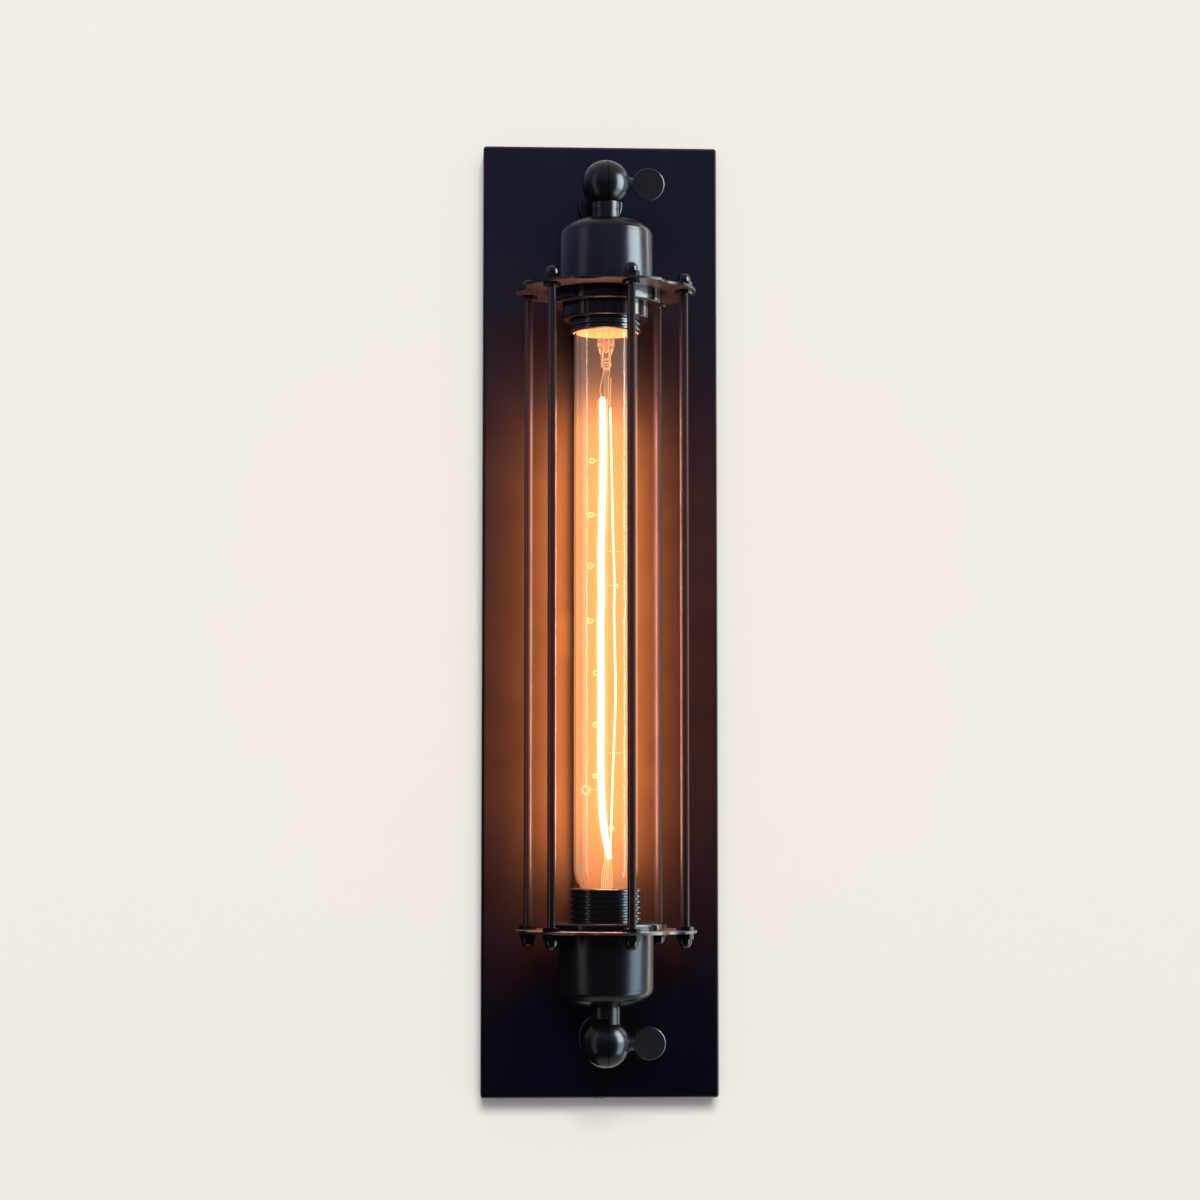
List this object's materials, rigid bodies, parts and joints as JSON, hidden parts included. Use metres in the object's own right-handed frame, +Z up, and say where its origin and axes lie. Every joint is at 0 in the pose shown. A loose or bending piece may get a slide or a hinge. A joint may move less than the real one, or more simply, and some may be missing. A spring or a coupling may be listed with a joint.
{
  "type": "cage wall light",
  "caption": "Tall wall light: a flat back pan carries two swivel knuckles that hold a tubular filament bulb in a cage of straight rods between two domed cups.",
  "frame": {"origin": "on the wall, at the middle of the two fixing holes, which is the middle of the pan's back", "axes": "+Z up along the lamp, +Y into the wall, +X to the right as seen from the room"},
  "size_m": [0.115, 0.1145, 0.4672],
  "materials": {
    "pan_paint": "satin black with a cold tinge",
    "satin_black": "satin black",
    "ring_black": "satin black",
    "rod_black": "gloss black",
    "nut_black": "gloss black",
    "sleeve_black": "gloss black",
    "thumb_black": "satin black",
    "black_screw": "black oxide",
    "zinc_plate": "zinc plated",
    "brass": "plain",
    "tinned_copper": "tinned",
    "terminal_plastic": "matt white",
    "earth_insulation": "green insulation",
    "live_insulation": "brown insulation",
    "neutral_insulation": "blue insulation",
    "heat_sleeving": "white glass-fibre sleeving",
    "porcelain": "white glaze",
    "bulb_glass": "clear, amber tint",
    "stem_glass": "clear",
    "cap_glass": "black glass",
    "cap_metal": "satin",
    "tip_metal": "solder",
    "support_wire": "bright wire",
    "glowing_filament": "lit carbon filament"
  },
  "bodies": {
    "wall_side": {"back_pan": "pan_paint", "wall_bracket": "zinc_plate", "cover_screws": "black_screw", "stem_flanges": "satin_black", "wall_stems": "satin_black", "wall_nipples": "zinc_plate", "stem_washers": "zinc_plate", "stem_nuts": "zinc_plate", "terminal_block": "terminal_plastic", "block_inserts": "brass", "block_clamp_screws": "zinc_plate", "block_fixing_screw": "zinc_plate", "earth_studs": "zinc_plate", "earth_tags": "tinned_copper", "earth_nuts": "zinc_plate", "earth_lead": "earth_insulation", "live_lead": "live_insulation", "neutral_lead": "neutral_insulation", "upper_wall_knuckle": "satin_black", "lower_wall_knuckle": "satin_black"},
    "upper_thumb_washer": {"upper_thumb_washer": "black_screw"},
    "upper_thumb_screw": {"upper_thumb_screw": "thumb_black"},
    "lower_thumb_washer": {"lower_thumb_washer": "black_screw"},
    "lower_thumb_screw": {"lower_thumb_screw": "thumb_black"},
    "lamp": {"upper_lamp_knuckle": "satin_black", "lower_lamp_knuckle": "satin_black", "upper_cup": "satin_black", "lower_cup": "satin_black", "upper_cage_ring": "ring_black", "lower_cage_ring": "ring_black", "cage_rods": "rod_black", "acorn_nuts": "nut_black", "jam_nuts": "nut_black", "lampholder_sleeve": "sleeve_black", "holder_cap": "sleeve_black", "end_sleeve": "sleeve_black", "upper_flange_nut": "nut_black", "lower_flange_nut": "nut_black", "collar_nut": "nut_black", "lamp_nipples": "zinc_plate", "nipple_spacers": "zinc_plate", "nipple_nuts": "zinc_plate", "porcelain_core": "porcelain", "screw_shell": "brass", "terminal_plates": "brass", "terminal_screws": "zinc_plate", "centre_contact": "brass", "lamp_leads": "heat_sleeving"},
    "bulb": {"bulb_glass": "bulb_glass", "bulb_cap": "cap_metal", "cap_insulator": "cap_glass", "cap_contact": "tip_metal", "bulb_stem": "stem_glass", "filament": "glowing_filament", "filament_supports": "support_wire", "bulb_leads": "support_wire"}
  },
  "joints": [
    {"name": "lamp_swing", "type": "hinge", "parent": "wall_side", "child": "lamp", "pos_m": [0, -0.072, 0.203], "axis": [-1, 0, 0], "range_deg": [0, 90]},
    {"name": "bulb_turn", "type": "hinge", "parent": "lamp", "child": "bulb", "pos_m": [0, -0.072, 0.15], "axis": [0, 0, -1], "range_deg": [0, 1440]},
    {"name": "upper_thumb_screw_travel", "type": "slide", "parent": "wall_side", "child": "upper_thumb_washer", "axis": [1, 0, 0], "range_m": [0, 0.0032]},
    {"name": "upper_thumb_screw_turn", "type": "hinge", "parent": "upper_thumb_washer", "child": "upper_thumb_screw", "pos_m": [0, -0.072, 0.203], "axis": [1, 0, 0], "range_deg": [0, 1442]},
    {"name": "lower_thumb_screw_travel", "type": "slide", "parent": "wall_side", "child": "lower_thumb_washer", "axis": [1, 0, 0], "range_m": [0, 0.0032]},
    {"name": "lower_thumb_screw_turn", "type": "hinge", "parent": "lower_thumb_washer", "child": "lower_thumb_screw", "pos_m": [0, -0.072, -0.203], "axis": [1, 0, 0], "range_deg": [0, 1442]}
  ],
  "couplings": [
    {"joint": "upper_thumb_screw_turn", "follows": "upper_thumb_screw_travel", "rad_per_m": 7854},
    {"joint": "lower_thumb_screw_turn", "follows": "lower_thumb_screw_travel", "rad_per_m": 7854}
  ]
}
